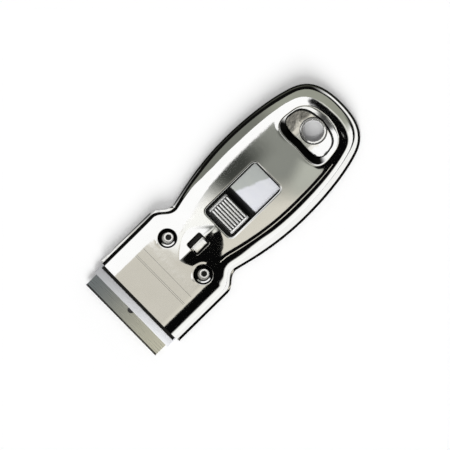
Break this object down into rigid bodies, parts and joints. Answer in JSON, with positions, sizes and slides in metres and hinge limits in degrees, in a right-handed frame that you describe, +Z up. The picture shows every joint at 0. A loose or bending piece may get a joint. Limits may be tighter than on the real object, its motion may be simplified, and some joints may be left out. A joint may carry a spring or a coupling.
{
  "type": "razor blade scraper",
  "caption": "Pocket scraper of plated sheet steel: a sliding carrier with a thumb grip pushes a single-edge blade out of a waisted handle with a hanging hole.",
  "frame": {"origin": "centre of the bounding box, on the face that the back plate rests on", "axes": "+X to the right of the tool, +Y from the blade to the hanging end, +Z up out of the thumb side"},
  "size_m": [0.0442, 0.1196, 0.0108],
  "materials": {
    "chrome_shell": "bright chrome plate on drawn sheet steel",
    "chrome_plate": "bright chrome plate on flat sheet steel",
    "chrome_grip": "bright chrome plate on a pressed cap",
    "bright_rivet": "bright nickel plate",
    "zinc_steel": "pale zinc plate on sheet steel",
    "satin_steel": "satin zinc plate",
    "blade_steel": "oiled carbon steel, ground edge",
    "spring_steel": "blued spring steel"
  },
  "bodies": {
    "handle": {"top_shell": "chrome_shell", "back_plate": "chrome_plate", "left_rivet": "bright_rivet", "right_rivet": "bright_rivet", "left_sleeve": "zinc_steel", "right_sleeve": "zinc_steel", "hang_eyelet": "bright_rivet"},
    "slide": {"blade_carrier": "zinc_steel", "blade_clamp": "satin_steel", "razor_blade": "blade_steel", "blade_spine": "satin_steel", "thumb_grip": "chrome_grip", "detent_spring": "spring_steel", "spring_rivet": "zinc_steel"}
  },
  "joints": [
    {"name": "blade_slide", "type": "slide", "parent": "handle", "child": "slide", "axis": [0, 1, 0], "range_m": [0, 0.012]}
  ]
}
